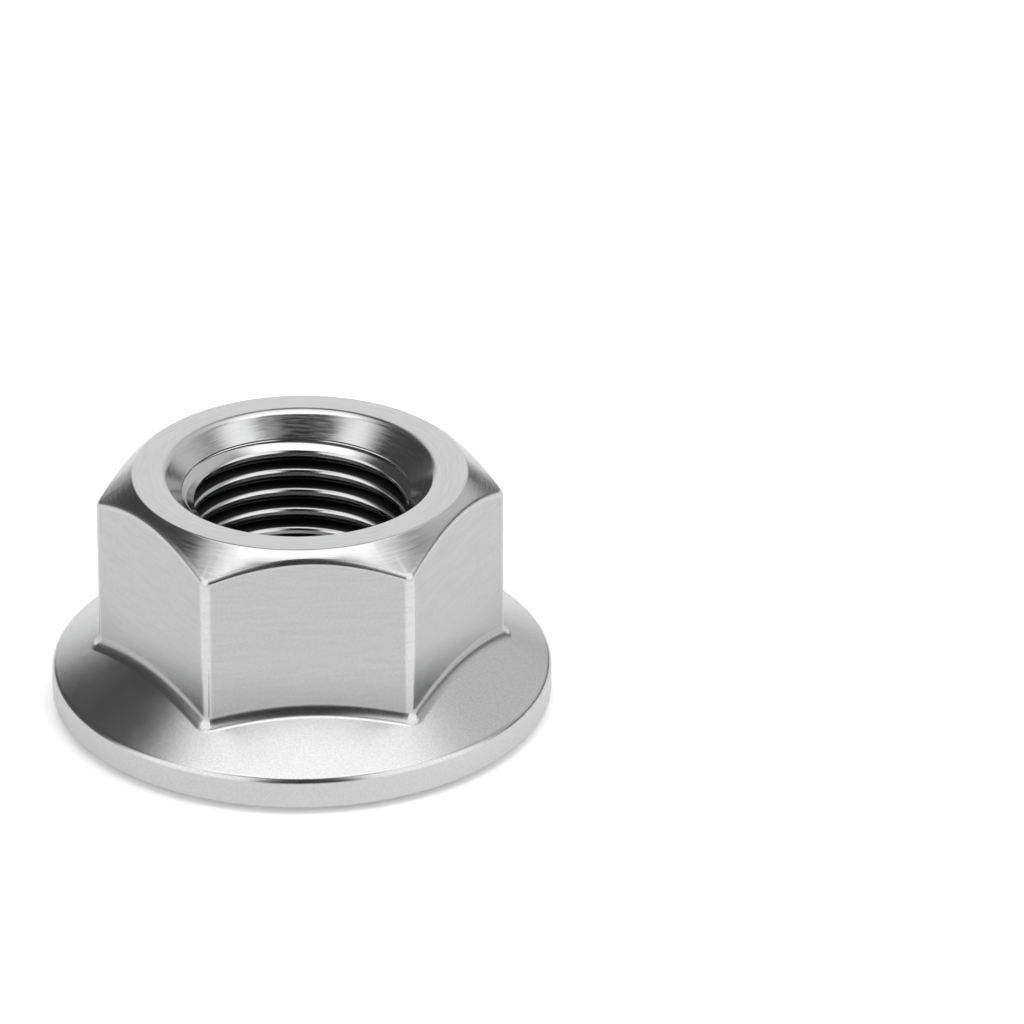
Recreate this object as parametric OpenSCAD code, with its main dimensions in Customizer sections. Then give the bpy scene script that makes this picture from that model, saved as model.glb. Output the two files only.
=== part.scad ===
// Hexagon nut with a fixed flange and curved serrations on the bearing face.
// The nut stands on its bearing face, with its axis on Z and two corners on X.

/* [Hexagon] */
// Width across the flats, mm
across_flats = 24; // [23:0.1:25]
// Rounding of the six upright edges, mm
corner_r = 0.64; // [0.1:0.02:1.5]
// Height of the whole nut, mm
nut_h = 16.95; // [14:0.05:20]
// Diameter of the flat ring on top, mm
top_flat_d = 22.6; // [20.5:0.1:23]
// Slope of the chamfer that falls from the flat ring to the corners, degrees
chamfer_deg = 38.5; // [20:0.5:45]

/* [Flange] */
// Diameter of the flange, mm
flange_d = 34; // [33:0.1:38]
// Height at which the rim wall and the cone on the flange would meet, mm
rim_h = 2.56; // [2:0.02:4]
// Slope of the cone that rises from the rim to the hexagon, degrees
cone_deg = 27.5; // [15:0.5:35]
// Rounding of the rim's upper edge, mm
rim_top_r = 0.55; // [0.2:0.01:0.7]
// Rounding of the rim's lower edge, mm
rim_low_r = 0.3; // [0.1:0.01:0.5]
// Width of the bevel between the bearing face and the rim, mm
bevel_w = 1.1; // [0.8:0.05:1.3]
// Slope of that bevel, degrees
bevel_deg = 24.4; // [15:0.2:30]

/* [Thread] */
// Nominal diameter of the thread, mm
thread_d = 16; // [14:0.5:17]
// Pitch of the thread, mm
thread_pitch = 1.5; // [1:0.25:2]
// Diameter of both countersinks at their faces, mm
sink_d = 18.4; // [17.5:0.1:20]
// Slope of the countersinks, degrees from the axis
sink_deg = 45; // [30:1:60]

/* [Serrations] */
// Number of teeth round the bearing face
tooth_count = 24; // [18:1:30]
// Inner diameter of the ring of teeth, mm
tooth_inner_d = 24.6; // [22:0.1:26]
// Depth of the valleys where they reach the bevel, mm
tooth_depth = 0.25; // [0.1:0.01:0.35]
// Radius of the curve that each tooth follows, mm
tooth_curve_r = 4.25; // [4:0.05:5]
// Width of the flat crest of a tooth, mm
crest_w = 0.12; // [0.1:0.01:0.2]
// Slope of the steep side of a tooth, degrees
tooth_back_deg = 20; // [15:1:45]

/* [Hidden] */
$fn = 144;
flange_r = flange_d / 2;
flat_r = across_flats / 2;
corner_at = (flat_r - corner_r) / cos(30);
outside_r = flange_r + 1;
hexagon_foot = rim_h / 2;
// One radial thread depth below the nominal radius, for a 60 degree thread
bore_r = (thread_d - 1.0825 * thread_pitch) / 2;
sink_h = (sink_d / 2 - bore_r) / tan(sink_deg);
through = 1;
// A rounding's circle stands this far over the lines that it blends
overlap = 0.0003;
// The bevel starts at the bearing face, and the rim's two roundings touch its straight wall
bevel_r = flange_r - bevel_w;
rim_low_z = rim_low_r / cos(bevel_deg) + (bevel_w - rim_low_r) * tan(bevel_deg);
rim_top_z = rim_h - rim_top_r * tan((90 - cone_deg) / 2);
cone_top_z = rim_h + flange_r * tan(cone_deg);
// A tooth's flank falls from its crest, an arc about a centre near the rim, to the next tooth's valley
tooth_step = 360 / tooth_count;
tooth_centre_r = tooth_inner_d / 2 + tooth_curve_r;
valley_end_r = bevel_r + tooth_depth / tan(bevel_deg);
valley_curve_r = tooth_curve_r + crest_w + tooth_depth / tan(tooth_back_deg);
valley_end_deg = acos((pow(tooth_centre_r, 2) + pow(valley_end_r, 2) - pow(valley_curve_r, 2))
    / (2 * tooth_centre_r * valley_end_r));
valley_to_centre = norm([
    valley_end_r * cos(tooth_step - valley_end_deg) - tooth_centre_r,
    valley_end_r * sin(tooth_step - valley_end_deg)
]);
flank_slope = tooth_depth / (tooth_curve_r - valley_to_centre);
tooth_lift = 0.005;
tooth_reach = 1;

// Hexagon seen from above, with rounded corners
module hexagon_outline() {
    polygon([for (i = [0:5], side = [-1, 1])
        corner_at * [cos(60 * i), sin(60 * i)]
            + corner_r * [cos(60 * i + 30 * side), sin(60 * i + 30 * side)]]);
    for (i = [0:5])
        rotate(60 * i) translate([corner_at, 0]) circle(corner_r + overlap);
}

// Hexagon with the chamfer turned on its top
module hexagon() {
    intersection() {
        translate([0, 0, hexagon_foot]) linear_extrude(nut_h - hexagon_foot) hexagon_outline();
        rotate_extrude() polygon([
            [0, 0],
            [outside_r, 0],
            [outside_r, nut_h - (outside_r - top_flat_d / 2) * tan(chamfer_deg)],
            [top_flat_d / 2, nut_h],
            [0, nut_h]
        ]);
    }
}

// Half section of the flange: bevel, rounded rim and cone
module flange_section() {
    polygon([
        [0, 0],
        [bevel_r, 0],
        [flange_r - rim_low_r + rim_low_r * sin(bevel_deg), rim_low_z - rim_low_r * cos(bevel_deg)],
        [flange_r, rim_low_z],
        [flange_r, rim_top_z],
        [flange_r - rim_top_r + rim_top_r * sin(cone_deg), rim_top_z + rim_top_r * cos(cone_deg)],
        [flat_r / 2, cone_top_z - flat_r / 2 * tan(cone_deg)],
        [0, cone_top_z - flat_r / 2 * tan(cone_deg)]
    ]);
    translate([flange_r - rim_low_r, rim_low_z]) circle(rim_low_r + overlap);
    translate([flange_r - rim_top_r, rim_top_z]) circle(rim_top_r + overlap);
}

// Bore at the thread's inner diameter, with a countersink at each end
module bore() {
    translate([0, 0, -through]) cylinder(h = nut_h + 2 * through, r = bore_r);
    for (top = [0, 1])
        translate([0, 0, top * nut_h]) mirror([0, 0, top])
            rotate_extrude() polygon([
                [0, -through],
                [sink_d / 2 + through * tan(sink_deg), -through],
                [bore_r, sink_h],
                [0, sink_h]
            ]);
}

// Shallow cone that opens at the bearing face, inside the crest's arc
module flank_cone() {
    rotate_extrude() polygon([
        [0, tooth_curve_r * flank_slope],
        [tooth_curve_r + tooth_lift / flank_slope, -tooth_lift],
        [tooth_curve_r + tooth_lift / flank_slope, -tooth_reach],
        [0, -tooth_reach]
    ]);
}

// Room of the next tooth, with the slope of its steep side
module next_tooth() {
    rotate_extrude() polygon([
        [0, tooth_reach],
        [tooth_curve_r + crest_w + tooth_reach / tan(tooth_back_deg), tooth_reach],
        [tooth_curve_r + crest_w - tooth_lift / tan(tooth_back_deg), -tooth_lift],
        [tooth_curve_r + crest_w - tooth_lift / tan(tooth_back_deg), -2 * tooth_reach],
        [0, -2 * tooth_reach]
    ]);
}

// Material that is pressed away between two crests
module valley() {
    difference() {
        translate([tooth_centre_r, 0]) flank_cone();
        rotate(-tooth_step) translate([tooth_centre_r, 0]) next_tooth();
    }
}

module flange_nut() {
    color([0.78, 0.78, 0.79])
    difference() {
        union() {
            rotate_extrude() flange_section();
            hexagon();
        }
        bore();
        for (i = [0:tooth_count - 1])
            rotate(tooth_step * i) valley();
    }
}

flange_nut();
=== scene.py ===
import math

import bmesh
import bpy
from mathutils import Matrix, Vector


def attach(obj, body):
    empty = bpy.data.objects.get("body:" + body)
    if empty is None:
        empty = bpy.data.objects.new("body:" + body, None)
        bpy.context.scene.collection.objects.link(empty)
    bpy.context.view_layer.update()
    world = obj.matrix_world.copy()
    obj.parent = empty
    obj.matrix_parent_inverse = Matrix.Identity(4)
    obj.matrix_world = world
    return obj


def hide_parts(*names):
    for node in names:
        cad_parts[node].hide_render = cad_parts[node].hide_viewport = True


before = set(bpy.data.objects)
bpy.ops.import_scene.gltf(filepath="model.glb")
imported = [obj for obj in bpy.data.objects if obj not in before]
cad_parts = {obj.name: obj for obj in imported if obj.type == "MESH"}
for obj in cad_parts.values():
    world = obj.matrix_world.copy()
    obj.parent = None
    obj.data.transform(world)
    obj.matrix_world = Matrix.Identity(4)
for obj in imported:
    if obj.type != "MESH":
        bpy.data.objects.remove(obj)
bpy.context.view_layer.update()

mm = 0.001

# small helpers

weld = 0.0005 * mm  # points nearer than this are one
near = 0.1 * mm  # an edge this near its place is taken as there
spare = mm  # tools reach this far out of the nut


def deselectAll():
    if bpy.context.mode != "OBJECT":
        bpy.ops.object.mode_set(mode="OBJECT")
    bpy.ops.object.select_all(action="DESELECT")


def makeActive(piece):
    deselectAll()
    piece.select_set(True)
    bpy.context.view_layer.objects.active = piece


def openMesh(piece):
    makeActive(piece)
    bpy.ops.object.mode_set(mode="EDIT")
    bpy.ops.mesh.select_mode(type="EDGE")
    bpy.ops.mesh.select_all(action="DESELECT")


def closeMesh():
    bpy.ops.object.mode_set(mode="OBJECT")


def moveMesh(piece, matrix):
    piece.data.transform(matrix)


def weldAll(distance):
    bpy.ops.mesh.select_all(action="SELECT")
    bpy.ops.mesh.remove_doubles(threshold=distance)


def pickEdges(piece, wanted):
    mesh = bmesh.from_edit_mesh(piece.data)
    count = 0
    for edge in mesh.edges:
        if len(edge.link_faces) == 2 and wanted(edge):
            edge.select_set(True)
            count += 1
    mesh.select_flush_mode()
    bmesh.update_edit_mesh(piece.data)
    return count


def endRadii(edge):
    return [math.hypot(vert.co.x, vert.co.y) for vert in edge.verts]


def endHeights(edge):
    return [vert.co.z for vert in edge.verts]


def tanOf(degrees):
    return math.tan(math.radians(degrees))


def arcPoints(centre, radius, startDeg, endDeg, steps):
    points = []
    for i in range(steps + 1):
        a = math.radians(startDeg + (endDeg - startDeg) * i / steps)
        points.append((centre[0] + radius * math.cos(a), centre[1] + radius * math.sin(a)))
    return points


def drawOutline(name, outline):
    # one vertex, drawn out point by point through the half section
    bpy.ops.mesh.primitive_plane_add(size=mm)
    piece = bpy.context.object
    piece.name = name
    bpy.ops.object.mode_set(mode="EDIT")
    bpy.ops.mesh.select_mode(type="VERT")
    bpy.ops.mesh.merge(type="CENTER")
    bpy.ops.transform.translate(value=(outline[0][0], 0, outline[0][1]))
    for here, there in zip(outline, outline[1:]):
        step = (there[0] - here[0], 0, there[1] - here[1])
        bpy.ops.mesh.extrude_region_move(TRANSFORM_OT_translate={"value": step})
    return piece


def spunSolid(name, outline, steps):
    deselectAll()
    piece = drawOutline(name, outline)
    bpy.ops.mesh.select_all(action="SELECT")
    bpy.ops.mesh.spin(steps=steps, angle=2 * math.pi, center=(0, 0, 0), axis=(0, 0, 1))
    weldAll(weld)
    bpy.ops.mesh.normals_make_consistent(inside=False)
    closeMesh()
    return piece


def cutWith(piece, tool, operation):
    makeActive(piece)
    cut = piece.modifiers.new(operation.lower(), "BOOLEAN")
    cut.operation = operation
    cut.solver = "MANIFOLD"
    cut.object = tool
    bpy.ops.object.modifier_apply(modifier=cut.name)
    bpy.data.objects.remove(tool)


def roundEdges(piece, offset, segments, wanted):
    openMesh(piece)
    count = pickEdges(piece, wanted)
    bpy.ops.mesh.bevel(
        offset_type="OFFSET", offset=offset, segments=segments, profile=0.5, affect="EDGES",
        clamp_overlap=False, loop_slide=False,
    )
    closeMesh()
    return count


# the nut

nut = {
    "acrossFlats": 24 * mm,
    "cornerRound": 0.64 * mm,
    "height": 16.95 * mm,
    "topFlat": 22.6 * mm,
    "chamferSlope": 38.5,
    "chamferRound": 0.62 * mm,
    "topEdgeRound": 0.3 * mm,
    "footFillet": 1.1 * mm,
    "flange": 34 * mm,
    "rimHeight": 2.56 * mm,
    "coneSlope": 27.5,
    "rimTopRound": 0.55 * mm,
    "rimLowRound": 0.3 * mm,
    "bevelWidth": 1.1 * mm,
    "bevelSlope": 24.4,
    "thread": 16 * mm,
    "pitch": 1.5 * mm,
    "threadDepth": 0.54127,  # of a 60 degree thread, as a share of its pitch
    "threadFlank": 30,
    "sink": 18.4 * mm,
    "sinkSlope": 45,
    "topLipRound": 0.9 * mm,
    "lowLipRound": 0.5 * mm,
}

# faces in a full turn, and along each kind of rounding
faceCount = {"turn": 288, "edge": 8, "topEdge": 5, "rimLow": 8, "rimTop": 10, "lowLip": 6, "topLip": 10}


def boreRadius():
    return nut["thread"] / 2 - nut["threadDepth"] * nut["pitch"]


def hexagonBlock():
    flat, low, over = nut["acrossFlats"] / 2, nut["rimHeight"] / 2, nut["height"] + spare
    halfSide = math.radians(30)  # half of the turn that one of the six sides takes up
    deselectAll()
    bpy.ops.mesh.primitive_cylinder_add(
        vertices=6, radius=flat / math.cos(halfSide), depth=over - low,
        location=(0, 0, (over + low) / 2), rotation=(0, 0, halfSide),
    )
    block = bpy.context.object
    block.name = "hexagon"
    bpy.ops.object.transform_apply(location=True, rotation=True, scale=True)
    # upright corners
    roundEdges(
        block, nut["cornerRound"] * math.tan(halfSide), faceCount["edge"],
        lambda e: abs(e.verts[0].co.z - e.verts[1].co.z) > mm,
    )
    # chamfer turned on the top
    top, high, wide = nut["topFlat"] / 2, nut["height"], nut["acrossFlats"]
    slope, edge = nut["chamferSlope"], nut["topEdgeRound"]
    touch = top - edge * math.tan(math.radians(slope) / 2)
    outline = [(0, 0), (wide, 0), (wide, high - (wide - top) * tanOf(slope))]
    outline += arcPoints((touch, high - edge), edge, 90 - slope, 90, faceCount["topEdge"]) + [(0, high)]
    cutWith(block, spunSolid("blank", outline, faceCount["turn"]), "INTERSECT")
    return block


def flangeDisc():
    rim, low, top = nut["flange"] / 2, nut["rimLowRound"], nut["rimTopRound"]
    bevel, cone = math.radians(nut["bevelSlope"]), math.radians(nut["coneSlope"])
    lowZ = low / math.cos(bevel) + (nut["bevelWidth"] - low) * math.tan(bevel)
    topZ = nut["rimHeight"] - top * math.tan((math.pi / 2 - cone) / 2)
    inner = nut["acrossFlats"] / 4
    innerZ = nut["rimHeight"] + (rim - inner) * math.tan(cone)
    outline = [(0, 0), (rim - nut["bevelWidth"], 0)]
    outline += arcPoints((rim - low, lowZ), low, nut["bevelSlope"] - 90, 0, faceCount["rimLow"])
    outline += arcPoints((rim - top, topZ), top, 0, 90 - nut["coneSlope"], faceCount["rimTop"])
    outline += [(inner, innerZ), (0, innerZ)]
    return spunSolid("flange", outline, faceCount["turn"])


def drillBit():
    # both countersinks have a rounded lip
    minor, sink, high, slope = boreRadius(), nut["sink"] / 2, nut["height"], nut["sinkSlope"]
    depth = sink - minor  # at 45 degrees a countersink is as deep as it is wide
    low, top = nut["lowLipRound"], nut["topLipRound"]
    share = math.tan(math.radians(slope) / 2)
    lowLip, topLip = sink + low * share, sink + top * share
    outline = [(0, -spare), (lowLip, -spare)]
    outline += arcPoints((lowLip, low), low, -90, -90 - slope, faceCount["lowLip"])
    outline += [(minor, depth), (minor, high - depth)]
    outline += arcPoints((topLip, high - top), top, 90 + slope, 90, faceCount["topLip"])
    outline += [(topLip, high + spare), (0, high + spare)]
    return spunSolid("drill", outline, faceCount["turn"])


tapRidge = {
    "tipFlat": 1 / 16,  # half the flat at the tip, as a share of the pitch
    "tipRound": 0.03 * mm,
    "flare": 0.12 * mm,  # where the ridge widens, so that the nut's crest is round
    "flareSteps": (0.03 * mm, 0.09 * mm, 0.14 * mm),
    "blunt": 0.4,  # how far along a rounding its middle point lies
    "intoBore": 0.15 * mm,
    "start": 2.04,  # turns below the bearing face
    "moreTurns": 4,
    "turnSteps": 120,
}


def threadTap():
    major, minor, pitch = nut["thread"] / 2, boreRadius(), nut["pitch"]
    slope = tanOf(nut["threadFlank"])
    flatHalf = pitch * tapRidge["tipFlat"]
    core = minor - tapRidge["intoBore"]
    flare, blunt = tapRidge["flare"], tapRidge["blunt"]
    first, second, third = tapRidge["flareSteps"]
    # half of one ridge, from its tip to the core
    half = [
        (major, blunt * flatHalf), (major - tapRidge["tipRound"], flatHalf),
        (minor + flare, flatHalf + (major - minor - flare) * slope),
        (minor + blunt * flare, flatHalf + (major - minor - blunt * flare) * slope + first),
        (minor, flatHalf + (major - minor) * slope + second),
        (core, flatHalf + (major - minor) * slope + third),
    ]
    outline = [(core, -pitch / 2)] + [(r, -z) for r, z in reversed(half)] + half + [(core, pitch / 2)]
    deselectAll()
    tap = drawOutline("tap", [(r, z - tapRidge["start"] * pitch) for r, z in outline])
    closeMesh()
    turn = tap.modifiers.new("turn", "SCREW")
    turn.axis = "Z"
    turn.angle = 2 * math.pi
    turn.screw_offset = pitch
    turn.iterations = math.ceil(nut["height"] / pitch) + tapRidge["moreTurns"]
    turn.steps = turn.render_steps = tapRidge["turnSteps"]
    makeActive(tap)
    bpy.ops.object.modifier_apply(modifier=turn.name)
    openMesh(tap)
    weldAll(weld)
    # both ends are cut off level and closed
    for height, below in ((-spare, True), (nut["height"] + spare, False)):
        bpy.ops.mesh.select_all(action="SELECT")
        bpy.ops.mesh.bisect(
            plane_co=(0, 0, height), plane_no=(0, 0, 1), use_fill=True,
            clear_inner=below, clear_outer=not below, threshold=weld / 5,
        )
    weldAll(weld)
    bpy.ops.mesh.normals_make_consistent(inside=False)
    closeMesh()
    return tap


teeth = {
    "count": 24,
    "innerRing": 24.6 * mm,
    "depth": 0.25 * mm,
    "curve": 4.25 * mm,
    "crest": 0.12 * mm,
    "backSlope": 20,
    "firstSlope": 0.35,  # share of the flank's fall that is even, the rest steepens
    "lift": 0.005 * mm,  # the tools start this far under the bearing face
    "liftsBeyond": 8,
    "flankRings": 10,
    "curveSteps": 192,
}


def toothValley():
    curve, depth, crest, lift = teeth["curve"], teeth["depth"], teeth["crest"], teeth["lift"]
    back, even, rings = tanOf(teeth["backSlope"]), teeth["firstSlope"], teeth["flankRings"]
    centre = teeth["innerRing"] / 2 + curve
    step = 2 * math.pi / teeth["count"]
    # where the valley's line reaches the bevel, and how far that is from the flank's own centre
    end = nut["flange"] / 2 - nut["bevelWidth"] + depth / tanOf(nut["bevelSlope"])
    valleyCurve = curve + crest + depth / back
    endTurn = math.acos((centre ** 2 + end ** 2 - valleyCurve ** 2) / (2 * centre * end))
    reach = curve - math.hypot(end * math.cos(step - endTurn) - centre, end * math.sin(step - endTurn))
    beyond = curve + lift * teeth["liftsBeyond"]
    outline = [(0, -spare), (beyond, -spare), (beyond, -lift)]
    for i in range(rings + 1):
        s = i / rings * curve / reach
        outline.append((curve * (1 - i / rings), depth * (even * s + (1 - even) * s * s)))
    flank = spunSolid("valley", outline, teeth["curveSteps"])
    moveMesh(flank, Matrix.Translation((centre, 0, 0)))
    room = spunSolid("room", [
        (0, spare), (curve + crest + spare / back, spare), (curve + crest - lift / back, -lift),
        (curve + crest - lift / back, -2 * spare), (0, -2 * spare),
    ], teeth["curveSteps"])
    moveMesh(room, Matrix.Rotation(-step, 4, "Z") @ Matrix.Translation((centre, 0, 0)))
    cutWith(flank, room, "DIFFERENCE")
    return flank


def allValleys():
    first = toothValley()
    copies = [first]
    for i in range(1, teeth["count"]):
        twin = first.copy()
        twin.data = first.data.copy()
        bpy.context.collection.objects.link(twin)
        moveMesh(twin, Matrix.Rotation(2 * math.pi * i / teeth["count"], 4, "Z"))
        copies.append(twin)
    deselectAll()
    for twin in copies:
        twin.select_set(True)
    bpy.context.view_layer.objects.active = first
    bpy.ops.object.join()
    return first


# edges of the joined body that are rounded: where they lie, and the least angle across them
bodyEdges = {"weld": 0.002 * mm, "footAbove": 3 * mm, "footAngle": 40, "chamferAngle": 30}


def isFootEdge(edge):
    return (
        min(endRadii(edge)) > nut["acrossFlats"] / 2 - near
        and max(endHeights(edge)) < nut["height"] / 2 and min(endHeights(edge)) > bodyEdges["footAbove"]
        and edge.calc_face_angle() > math.radians(bodyEdges["footAngle"])
    )


def isChamferEdge(edge):
    return (
        min(endRadii(edge)) > nut["acrossFlats"] / 2 - near and min(endHeights(edge)) > nut["height"] / 2
        and edge.calc_face_angle() > math.radians(bodyEdges["chamferAngle"])
    )


def makeNut():
    body = hexagonBlock()
    cutWith(body, flangeDisc(), "UNION")
    body.name = "nut"
    openMesh(body)
    weldAll(bodyEdges["weld"])
    closeMesh()
    print("nut: hexagon and flange joined,", len(body.data.polygons), "faces")
    # a rounding between two slopes starts this far from their edge
    offset = nut["footFillet"] * math.tan(math.radians(90 - nut["coneSlope"]) / 2)
    print("nut: foot fillet on", roundEdges(body, offset, faceCount["edge"], isFootEdge), "edges")
    offset = nut["chamferRound"] * math.tan(math.radians(90 - nut["chamferSlope"]) / 2)
    print("nut: chamfer rounded on", roundEdges(body, offset, faceCount["edge"], isChamferEdge), "edges")
    cutWith(body, drillBit(), "DIFFERENCE")
    cutWith(body, threadTap(), "DIFFERENCE")
    print("nut: thread cut,", len(body.data.polygons), "faces")
    cutWith(body, allValleys(), "DIFFERENCE")
    print("nut: serrations cut,", len(body.data.polygons), "faces")
    return body


nutPiece = makeNut()
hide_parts("flange_nut")
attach(nutPiece, "root")

# shading

# degrees from which an edge is sharp, all over and in two places that need less
sharpFrom = {"all": 22, "teeth": 1.2, "sinks": 3}
# how those two places are told: by the faces' direction, and by the distance from the cone and the thread
sharpPlace = {"facingDown": -0.9, "onCone": 0.01 * mm, "pastThread": 0.05 * mm}


def onSink(vert):
    # on the cone of either countersink, where the thread runs out
    radius = math.hypot(vert.co.x, vert.co.y)
    cone = nut["sink"] / 2 - min(vert.co.z, nut["height"] - vert.co.z)
    return abs(radius - cone) < sharpPlace["onCone"] and radius < nut["thread"] / 2 + sharpPlace["pastThread"]


def isToothEdge(edge):
    return (
        max(face.normal.z for face in edge.link_faces) < sharpPlace["facingDown"]
        and edge.calc_face_angle() > math.radians(sharpFrom["teeth"])
        and min(endRadii(edge)) > teeth["innerRing"] / 2 - near
    )


def isSinkEdge(edge):
    bent = edge.calc_face_angle() > math.radians(sharpFrom["sinks"])
    return bent and all(onSink(vert) for vert in edge.verts)


def finishMesh(piece):
    # flat faces stay flat and roundings stay round, with the small steps of the teeth kept sharp
    makeActive(piece)
    bpy.ops.object.shade_smooth_by_angle(angle=math.radians(sharpFrom["all"]), keep_sharp_edges=False)
    openMesh(piece)
    pickEdges(piece, isToothEdge)
    pickEdges(piece, isSinkEdge)
    bpy.ops.mesh.mark_sharp()
    closeMesh()
    weigh = piece.modifiers.new("weigh", "WEIGHTED_NORMAL")
    weigh.keep_sharp = True
    bpy.ops.object.modifier_apply(modifier=weigh.name)


finishMesh(nutPiece)


# one steel, finished in five ways

finish = {
    "forged": {"colour": 0.64, "roughness": 0.22, "marks": "fine grain", "depth": 0.001 * mm},
    "brushed": {"colour": 0.56, "roughness": 0.25, "marks": "brush lines", "depth": 0.0003 * mm},
    "turned": {
        "colour": 0.63, "roughness": 0.16, "marks": "turning marks", "depth": 0.0012 * mm,
        "stretch": 0.4,  # of the highlights, across the marks
    },
    # its marks hold painted shade in the thread's grooves
    "thread": {"colour": 0.63, "roughness": 0.16, "marks": "thread grain and painted groove shade", "depth": 0.0004 * mm},
    "polished": {"colour": 0.63, "roughness": 0.09, "marks": "fine grain", "depth": 0.0004 * mm},
}
blueOfSteel = 1.01  # blue over red and green
usualNoise = (0.3, 0.7)  # most of a noise lies between these


class Graph:
    # short calls for a node tree
    def __init__(self, tree):
        self.nodes, self.links = tree.nodes, tree.links

    def add(self, kind, **settings):
        node = self.nodes.new(kind)
        for key, value in settings.items():
            setattr(node, key, value)
        return node

    def feed(self, socket, value):
        if isinstance(value, (int, float, tuple)):
            socket.default_value = value
        else:
            self.links.new(value, socket)

    def math(self, operation, *values):
        node = self.add("ShaderNodeMath", operation=operation)
        for socket, value in zip(node.inputs, values):
            self.feed(socket, value)
        return node.outputs[0]

    def ramp(self, value, low, high, start, end):
        node = self.add("ShaderNodeMapRange", interpolation_type="SMOOTHSTEP")
        names = ("Value", "From Min", "From Max", "To Min", "To Max")
        for name, setting in zip(names, (value, low, high, start, end)):
            self.feed(node.inputs[name], setting)
        return node.outputs["Result"]

    def spread(self, noise, start, end):
        return self.ramp(noise, *usualNoise, start, end)

    def blend(self, amount, first, second):
        node = self.add("ShaderNodeMix", data_type="FLOAT")
        for socket, value in zip((node.inputs[0], node.inputs[2], node.inputs[3]), (amount, first, second)):
            self.feed(socket, value)
        return node.outputs[0]

    def noise(self, vector, scale, detail=2.0, fourth=None):
        node = self.add("ShaderNodeTexNoise", noise_dimensions="3D" if fourth is None else "4D")
        self.feed(node.inputs["Vector"], vector)
        if fourth is not None:
            self.feed(node.inputs["W"], fourth)
        node.inputs["Scale"].default_value = scale
        node.inputs["Detail"].default_value = detail
        return node.outputs["Fac"]

    def splitXYZ(self, vector):
        node = self.add("ShaderNodeSeparateXYZ")
        self.feed(node.inputs[0], vector)
        return node.outputs

    def joinXYZ(self, x, y, z):
        node = self.add("ShaderNodeCombineXYZ")
        for socket, value in zip(node.inputs, (x, y, z)):
            self.feed(socket, value)
        return node.outputs[0]

    def fromAxis(self, x, y):
        # distance from the Z axis
        return self.math("SQRT", self.math("ADD", self.math("MULTIPLY", x, x), self.math("MULTIPLY", y, y)))


fineGrain = {"fine": 7500, "broad": 700, "waver": 0.01, "shade": (0.94, 1.04)}


def makeFineGrain(g, place):
    # even, without direction
    fine, broad = g.noise(place, fineGrain["fine"]), g.noise(place, fineGrain["broad"])
    waver = fineGrain["waver"]
    return fine, g.spread(broad, -waver, waver), g.spread(fine, *fineGrain["shade"])


brushLines = {
    "squash": (0.1, 0.1, 1),
    "strokes": 3500,
    "strokeDetail": 3,
    "strokeShade": (0.97, 1.03),
    "grain": 6000,
    "grainShade": (0.96, 1.04),
    "waver": 0.01,
    # painted shade: the flats darker towards the foot
    "foot": (4.2 * mm, 9 * mm),
    "footPaintedShade": 0.8,
    # painted highlight: brighter on the rounded upright corners
    "corner": (13.58 * mm, 13.7 * mm),
    "cornerPaintedHighlight": 1.3,
}


def makeBrushLines(g, place):
    # faint strokes along the six flats, with painted shade darker towards the foot and a painted highlight on
    # the upright corners
    squash = g.add("ShaderNodeMapping")
    g.feed(squash.inputs["Vector"], place)
    squash.inputs["Scale"].default_value = brushLines["squash"]
    strokes = g.noise(squash.outputs[0], brushLines["strokes"], brushLines["strokeDetail"])
    grain = g.noise(place, brushLines["grain"])
    x, y, z = g.splitXYZ(place)
    strokeShade = g.spread(strokes, *brushLines["strokeShade"])
    shade = g.math("MULTIPLY", strokeShade, g.spread(grain, *brushLines["grainShade"]))
    # painted shade, darker towards the foot
    shade = g.math("MULTIPLY", shade, g.ramp(z, *brushLines["foot"], brushLines["footPaintedShade"], 1.0))
    # painted highlight along the rounded upright corners
    paintedHighlight = g.ramp(g.fromAxis(x, y), *brushLines["corner"], 1.0, brushLines["cornerPaintedHighlight"])
    waver = brushLines["waver"]
    return grain, g.spread(strokes, -waver, waver), g.math("MULTIPLY", shade, paintedHighlight)


turningMarks = {"rings": 9000, "change": 7, "detail": 3, "waver": 0.04, "shade": (0.94, 1.04)}


def makeTurningMarks(g, place):
    # fine rings round the thread's axis, which come and go along the way
    x, y, z = g.splitXYZ(place)
    radius = g.fromAxis(x, y)
    close, change, waver = turningMarks["rings"], turningMarks["change"], turningMarks["waver"]
    alongX, alongY = g.math("DIVIDE", x, radius), g.math("DIVIDE", y, radius)
    ringPlace = g.joinXYZ(
        g.math("MULTIPLY", radius, close), g.math("MULTIPLY", z, close), g.math("MULTIPLY", alongX, change),
    )
    rings = g.noise(ringPlace, 1, turningMarks["detail"], g.math("MULTIPLY", alongY, change))
    return rings, g.spread(rings, -waver, waver), g.spread(rings, *turningMarks["shade"])


paintedGrooveShade = {
    "from": (7.27 * mm, 7.42 * mm),
    "upTo": (14.3 * mm, 14.7 * mm),
    "grain": 6000,
    "rougher": 0.2,
    # painted shade in the grooves
    "shade": 0.06,
}


def makePaintedGrooveShade(g, place):
    # painted shade: nearly black in the grooves, the crests and the first turn left at their own colour
    x, y, z = g.splitXYZ(place)
    deep = g.ramp(g.fromAxis(x, y), *paintedGrooveShade["from"], 0.0, 1.0)
    groove = g.math("MULTIPLY", deep, g.ramp(z, *paintedGrooveShade["upTo"], 1.0, 0.0))
    rougher = g.ramp(groove, 0.0, 1.0, 0.0, paintedGrooveShade["rougher"])
    # painted shade, nearly black down in the grooves
    shade = g.ramp(groove, 0.0, 1.0, 1.0, paintedGrooveShade["shade"])
    return g.noise(place, paintedGrooveShade["grain"]), rougher, shade


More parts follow.
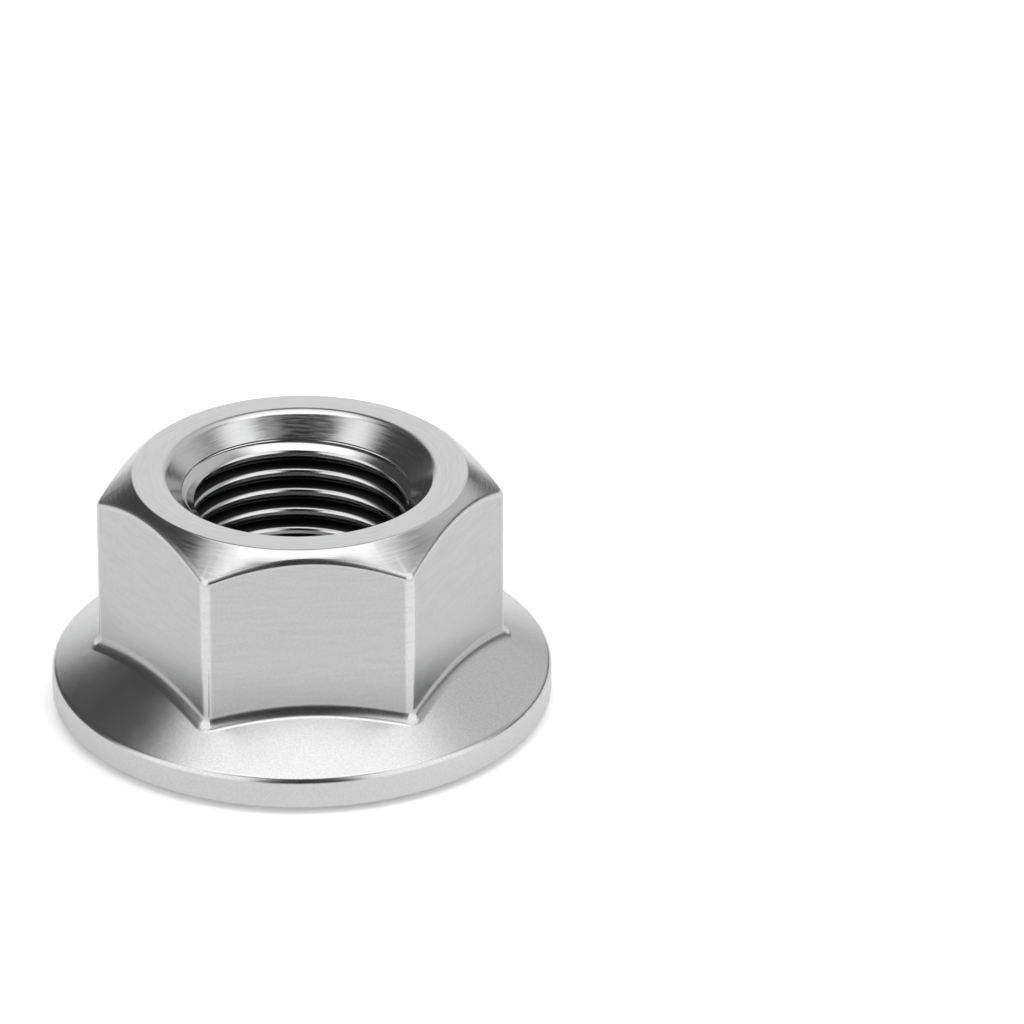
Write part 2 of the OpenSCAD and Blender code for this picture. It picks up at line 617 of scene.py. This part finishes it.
def markGroup(name, makeMarks):
    group = bpy.data.node_groups.new(name, "ShaderNodeTree")
    for output in ("Height", "Roughness", "Shade"):
        group.interface.new_socket(output, in_out="OUTPUT", socket_type="NodeSocketFloat")
    group.interface.new_socket("Base Roughness", in_out="INPUT", socket_type="NodeSocketFloat")
    g = Graph(group)
    start, end = g.add("NodeGroupInput"), g.add("NodeGroupOutput")
    height, waver, shade = makeMarks(g, g.add("ShaderNodeTexCoord").outputs["Object"])
    g.feed(end.inputs["Height"], height)
    g.feed(end.inputs["Roughness"], g.math("ADD", start.outputs[0], waver))
    g.feed(end.inputs["Shade"], shade)


def steelMaterial(name):
    look = finish[name]
    material = bpy.data.materials.new("steel " + name)
    material.use_nodes = True
    g = Graph(material.node_tree)
    shader = g.nodes["Principled BSDF"]
    shader.inputs["Metallic"].default_value = 1
    marks = g.add("ShaderNodeGroup", node_tree=bpy.data.node_groups[look["marks"]])
    marks.inputs[0].default_value = look["roughness"]
    tint = g.add("ShaderNodeVectorMath", operation="SCALE")
    tint.inputs[0].default_value = (look["colour"], look["colour"], look["colour"] * blueOfSteel)
    g.feed(tint.inputs["Scale"], marks.outputs["Shade"])
    g.feed(shader.inputs["Base Color"], tint.outputs[0])
    g.feed(shader.inputs["Roughness"], marks.outputs["Roughness"])
    bump = g.add("ShaderNodeBump")
    bump.inputs["Strength"].default_value = 1
    bump.inputs["Distance"].default_value = look["depth"]
    g.feed(bump.inputs["Height"], marks.outputs["Height"])
    g.feed(shader.inputs["Normal"], bump.outputs["Normal"])
    if "stretch" in look:
        shader.inputs["Anisotropic"].default_value = look["stretch"]
        tangent = g.add("ShaderNodeTangent", direction_type="RADIAL", axis="Z")
        g.feed(shader.inputs["Tangent"], tangent.outputs[0])
    return material


# limits between the finishes, as distances, slopes in degrees and parts of a normal
zone = {
    "pastThread": 0.02 * mm,
    "fromEnds": 0.7 * mm,
    "besideCone": 0.03 * mm,
    "coneFacing": 0.6,
    "topRing": 0.35 * mm,
    "roundSink": 0.5 * mm,
    "overChamfer": 2,
    "bearing": 0.9 * mm,
    "facingDown": -0.5,
    "levelDown": -0.99999,
    "upright": 88,
    "overCone": 2,
    "roundCorner": mm,
}


def finishOf(face):
    # which finish a face has, from its place and its normal
    centre, normal = face.center, face.normal
    radius, high, sink = math.hypot(centre.x, centre.y), nut["height"], nut["sink"] / 2
    fromEnd = min(centre.z, high - centre.z)
    if radius < nut["thread"] / 2 + zone["pastThread"] and fromEnd > zone["fromEnds"]:
        onCone = abs(radius - (sink - fromEnd)) < zone["besideCone"] and abs(normal.z) > zone["coneFacing"]
        return "turned" if onCone else "thread"
    if centre.z > high - zone["topRing"] or radius < sink + zone["roundSink"]:
        return "turned"
    slope = math.degrees(math.acos(max(-1, min(1, normal.z))))
    upper = centre.z > high / 2
    if upper and slope < nut["chamferSlope"] + zone["overChamfer"]:
        return "turned"
    if centre.z < zone["bearing"] and normal.z < zone["facingDown"]:
        innerRing = radius < teeth["innerRing"] / 2 and normal.z < zone["levelDown"]
        return "turned" if innerRing else "polished"
    flatFrom = zone["upright"] if upper else 90 - nut["coneSlope"] + zone["overCone"]
    if slope > flatFrom and radius < nut["acrossFlats"] / math.sqrt(3) + zone["roundCorner"]:
        return "brushed"
    return "forged"


def dressNut(piece):
    markGroup("fine grain", makeFineGrain)
    markGroup("brush lines", makeBrushLines)
    markGroup("turning marks", makeTurningMarks)
    markGroup("thread grain and painted groove shade", makePaintedGrooveShade)
    piece.data.materials.clear()
    names = list(finish)
    for name in names:
        piece.data.materials.append(steelMaterial(name))
    counts = [0] * len(names)
    for face in piece.data.polygons:
        face.material_index = names.index(finishOf(face))
        counts[face.material_index] += 1
    print("nut: finishes", dict(zip(names, counts)))


dressNut(nutPiece)

# floor

floorLook = {
    "size": 4,
    "colour": 0.9,
    # paler for the camera and in the steel than to the light, so that it stays white up to the shadow
    "inSteel": 1.2,
    "toCamera": 1.55,
    # ring under the bearing face, clear to what the steel reflects
    "openFrom": 8.6 * mm,
    "openTo": 16.2 * mm,
}


def addFloor():
    deselectAll()
    bpy.ops.mesh.primitive_plane_add(size=floorLook["size"])
    floor = bpy.context.object
    floor.name = "floor"
    material = bpy.data.materials.new("floor")
    material.use_nodes = True
    g = Graph(material.node_tree)
    g.nodes.remove(g.nodes["Principled BSDF"])
    white, ray = g.add("ShaderNodeBsdfDiffuse"), g.add("ShaderNodeLightPath")
    tone = g.blend(ray.outputs["Is Glossy Ray"], floorLook["colour"], floorLook["inSteel"])
    tone = g.blend(ray.outputs["Is Camera Ray"], tone, floorLook["toCamera"])
    g.feed(white.inputs["Color"], g.joinXYZ(tone, tone, tone))
    # seen from below it is clear, and the bearing face reflects what is under it
    x, y, z = g.splitXYZ(g.add("ShaderNodeTexCoord").outputs["Object"])
    radius = g.fromAxis(x, y)
    outside = g.math("GREATER_THAN", radius, floorLook["openFrom"])
    ring = g.math("MULTIPLY", outside, g.math("LESS_THAN", radius, floorLook["openTo"]))
    inSteel = g.math("MULTIPLY", ring, ray.outputs["Is Glossy Ray"])
    fromBelow = g.add("ShaderNodeNewGeometry").outputs["Backfacing"]
    mix = g.add("ShaderNodeMixShader")
    g.feed(mix.inputs["Fac"], g.math("MAXIMUM", inSteel, fromBelow))
    g.feed(mix.inputs[1], white.outputs["BSDF"])
    g.feed(mix.inputs[2], g.add("ShaderNodeBsdfTransparent").outputs["BSDF"])
    g.feed(g.nodes["Material Output"].inputs["Surface"], mix.outputs["Shader"])
    floor.data.materials.append(material)


addFloor()

# studio: a white box overhead, a low backdrop behind, two soft boxes beside the camera, dark between them

studio = {
    "overhead": 1.8,
    "overheadBack": 1.4,
    "zenith": 1.5,
    "backdrop": 0.97,
    "sideBox": 1.3,
    "gapLeft": 0.07,
    "gapRight": 0.25,
    "gapBackRight": 0.7,
    "low": 0.12,
    "camera": 0.012,
    "underLeft": 0.3,
    "underRight": 1.4,
}

# degrees over the floor between which one light passes into the next
rises = {
    "floor": (-6, -1),
    "low": (6, 20),
    "backdrop": (34, 46),
    "overhead": (52, 70),
    "sideBox": (54, 60),
    "overCamera": (66, 72),
    "zenith": (77, 85),
}

# degrees of turn from straight behind for the backdrop, and from straight in front for the others
turns = {"backdrop": (32, 13), "sideBox": (102, 76), "camera": (28, 12), "front": (64, 44)}

# parts of a direction between which the lights change from left to right, and to the back
spans = {"leftRight": (-0.5, 0.5), "backRight": (1.0, 1.42), "back": (0.0, 0.5), "under": (-0.7, 0.7)}


def makeStudio():
    world = bpy.data.worlds.new("studio")
    bpy.context.scene.world = world
    world.use_nodes = True
    g = Graph(world.node_tree)
    x, y, z = g.splitXYZ(g.add("ShaderNodeTexCoord").outputs["Generated"])
    level = g.math("MAXIMUM", g.fromAxis(x, y), 0.001)  # never quite zero, for the divisions
    back, right = g.math("DIVIDE", y, level), g.math("DIVIDE", x, level)
    front = g.math("MULTIPLY", back, -1.0)

    def byRise(name, below, above):
        low, high = [math.sin(math.radians(angle)) for angle in rises[name]]
        return g.ramp(z, low, high, below, above)

    def byTurn(direction, name, away=0.0, there=1.0):
        outer, inner = [math.cos(math.radians(angle)) for angle in turns[name]]
        return g.ramp(direction, outer, inner, away, there)

    backRight = g.math("ADD", right, back)
    gapRight = g.ramp(backRight, *spans["backRight"], studio["gapRight"], studio["gapBackRight"])
    gap = g.ramp(right, *spans["leftRight"], studio["gapLeft"], gapRight)
    room = byRise("low", studio["low"], gap)
    screen = byRise("backdrop", studio["backdrop"], gap)
    light = g.blend(byTurn(back, "backdrop"), room, screen)
    box = byRise("sideBox", studio["sideBox"], gap)
    beside = g.math("MULTIPLY", byTurn(front, "sideBox"), byTurn(front, "camera", 1.0, 0.0))
    light = g.blend(beside, light, box)
    slot = g.blend(byTurn(front, "camera"), light, studio["camera"])
    overhead = g.ramp(back, *spans["back"], studio["overhead"], studio["overheadBack"])
    light = byRise("overhead", light, overhead)
    light = g.blend(byTurn(front, "front"), light, byRise("overCamera", slot, studio["overhead"]))
    light = byRise("zenith", light, studio["zenith"])
    # under the floor, for the bearing face
    under = g.ramp(x, *spans["under"], studio["underLeft"], studio["underRight"])
    light = byRise("floor", under, light)
    # the camera itself sees plain white
    shown = g.blend(g.add("ShaderNodeLightPath").outputs["Is Camera Ray"], light, 1.0)
    g.feed(g.nodes["Background"].inputs["Strength"], shown)
    g.nodes["Background"].inputs["Color"].default_value = (1, 1, 1, 1)


makeStudio()

# camera at the photograph's angle

view = {
    "distance": 638.5 * mm,
    "elevation": 28.83,
    "turn": -2.03,
    "aim": (14.307 * mm, 0, 13.314 * mm),
    "lift": 0.36 * mm,
    "lens": 328.9,
    "sensor": 36,
    "clip": (0.01, 10),
}


def addCamera():
    rise, turn = math.radians(view["elevation"]), Matrix.Rotation(math.radians(view["turn"]), 3, "Z")
    lift = Vector((0, 0, view["lift"]))
    place = turn @ Vector((0, -math.cos(rise), math.sin(rise))) * view["distance"] + lift
    aim = turn @ Vector(view["aim"]) + lift
    deselectAll()
    bpy.ops.object.camera_add(location=place, rotation=(aim - place).to_track_quat("-Z", "Y").to_euler())
    camera = bpy.context.object
    camera.data.sensor_width = view["sensor"]
    camera.data.lens = view["lens"]
    camera.data.clip_start, camera.data.clip_end = view["clip"]
    bpy.context.scene.camera = camera


addCamera()
bpy.context.scene.view_settings.view_transform = "Standard"
